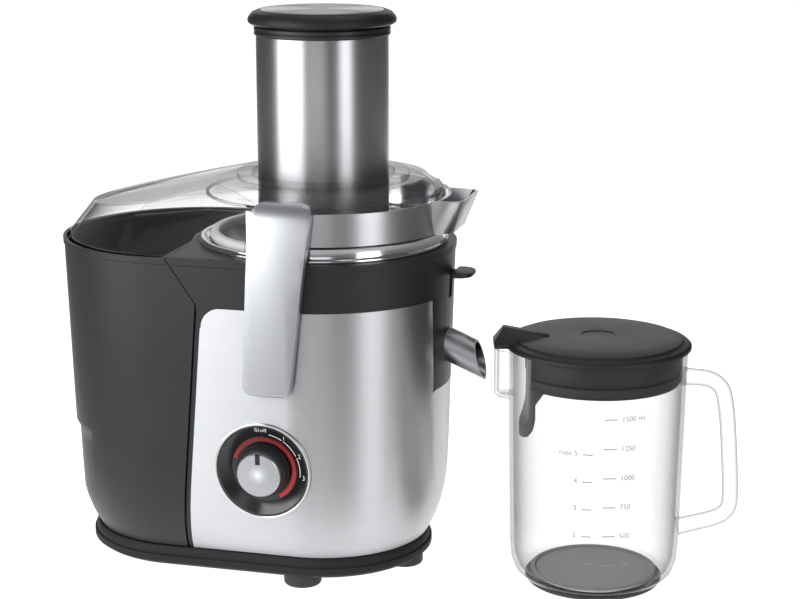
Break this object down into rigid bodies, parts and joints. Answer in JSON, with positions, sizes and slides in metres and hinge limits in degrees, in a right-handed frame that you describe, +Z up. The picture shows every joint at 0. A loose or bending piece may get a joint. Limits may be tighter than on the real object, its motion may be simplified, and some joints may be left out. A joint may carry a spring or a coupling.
{
  "type": "centrifugal juicer",
  "caption": "Centrifugal juicer with a wide feed chute, clear lid, latch arms, side pulp container, speed dial and spout, with its clear juice jug and jug lid.",
  "frame": {"origin": "on the standing surface, on the common axis of the motor, sieve and feed chute", "axes": "+Z up, +X towards the juice spout and the jug, -Y to the front with the speed dial"},
  "size_m": [0.4859, 0.2012, 0.3985],
  "materials": {
    "black_plastic": "satin moulded black",
    "base_plastic": "satin moulded dark grey",
    "brushed_panel": "vertical fine brushing",
    "satin_silver": "satin silver lacquer",
    "polished_steel": "polished stainless",
    "brushed_sleeve": "horizontal fine brushing",
    "clear_plastic": "clear copolyester",
    "white_plastic": "white moulded",
    "black_rubber": "soft black",
    "copper_winding": "enamelled copper",
    "motor_steel": "plain steel",
    "board_green": "lacquered board",
    "red_light": "translucent red",
    "separator_grey": "dark grey"
  },
  "bodies": {
    "housing": {"base_plate": "base_plastic", "rubber_feet": "black_rubber", "base_screws": "motor_steel", "motor_housing": "black_plastic", "steel_front_panel": "brushed_panel", "top_deck": "black_plastic", "outlet_spine": "black_plastic", "juice_spout": "polished_steel", "spout_seal": "black_rubber", "cord_inlet": "black_rubber", "juice_bowl": "polished_steel", "bowl_band": "brushed_sleeve", "motor_stator": "motor_steel", "motor_bracket": "motor_steel", "motor_mount_bushes": "black_rubber", "upper_bearing": "motor_steel", "lower_bearing": "motor_steel", "brush_holders": "copper_winding", "shaft_seal": "black_rubber", "control_board": "board_green", "speed_switch": "white_plastic", "interlock_switch": "white_plastic", "dial_bezel": "black_plastic", "dial_rim": "polished_steel", "dial_light_ring": "red_light", "latch_pins": "motor_steel"},
    "rotor": {"motor_shaft": "motor_steel", "armature": "copper_winding", "commutator": "copper_winding", "cooling_fan": "black_plastic", "drive_coupling": "black_plastic", "sieve_hub": "white_plastic", "grater_disc": "polished_steel", "sieve_basket": "polished_steel", "sieve_rim": "white_plastic"},
    "drip_stop": {"drip_stop_blade": "black_plastic", "drip_stop_tab": "black_plastic"},
    "speed_knob": {"knob_base": "black_plastic", "knob_cap": "satin_silver", "knob_pointer": "black_plastic", "knob_shaft": "motor_steel"},
    "front_latch": {"latch_front": "satin_silver"},
    "rear_latch": {"latch_rear": "satin_silver"},
    "lid": {"lid_shell": "clear_plastic", "pulp_guide": "clear_plastic", "lid_seal": "clear_plastic", "chute_liner": "clear_plastic", "chute_sleeve": "brushed_sleeve", "chute_collar": "black_plastic"},
    "pusher": {"pusher_tube": "black_plastic", "pusher_cap": "black_plastic", "pusher_inlay": "brushed_sleeve"},
    "pulp_bin": {"pulp_container": "black_plastic"},
    "jug": {"jug_body": "clear_plastic", "jug_handle": "clear_plastic", "jug_base_ring": "black_rubber"},
    "jug_cover": {"jug_lid": "black_plastic", "jug_lid_seal": "black_rubber", "foam_separator": "separator_grey"}
  },
  "joints": [
    {"name": "rotor_spin", "type": "hinge", "parent": "housing", "child": "rotor", "pos_m": [0, 0, 0.1], "axis": [0, 0, 1], "continuous": true},
    {"name": "drip_stop_slide", "type": "slide", "parent": "housing", "child": "drip_stop", "axis": [0, 0, 1], "range_m": [-0.012, 0]},
    {"name": "speed_knob_turn", "type": "hinge", "parent": "housing", "child": "speed_knob", "pos_m": [-0.018, -0.08892, 0.091], "axis": [0, 0.9986, 0.0523], "range_deg": [0, 90]},
    {"name": "front_latch_swing", "type": "hinge", "parent": "housing", "child": "front_latch", "pos_m": [-0.01, -0.0956, 0.15], "axis": [1, 0, 0], "range_deg": [0, 60]},
    {"name": "rear_latch_swing", "type": "hinge", "parent": "housing", "child": "rear_latch", "pos_m": [-0.01, 0.0956, 0.15], "axis": [-1, 0, 0], "range_deg": [0, 60]},
    {"name": "lid_lift", "type": "slide", "parent": "housing", "child": "lid", "axis": [0, 0, 1], "range_m": [0, 0.1]},
    {"name": "pusher_lift", "type": "slide", "parent": "lid", "child": "pusher", "axis": [0, 0, 1], "range_m": [0, 0.12]},
    {"name": "pulp_container_slide", "type": "slide", "parent": "housing", "child": "pulp_bin", "axis": [-1, 0, 0], "range_m": [0, 0.15]},
    {"name": "jug_lift", "type": "slide", "parent": "housing", "child": "jug", "axis": [0, 0, 1], "range_m": [0, 0.1]},
    {"name": "jug_lid_lift", "type": "slide", "parent": "jug", "child": "jug_cover", "axis": [0, 0, 1], "range_m": [0, 0.07]}
  ],
  "couplings": [
    {"joint": "rear_latch_swing", "follows": "front_latch_swing", "ratio": 1},
    {"joint": "lid_lift", "follows": "front_latch_swing", "m_per_rad": 0.0954}
  ]
}
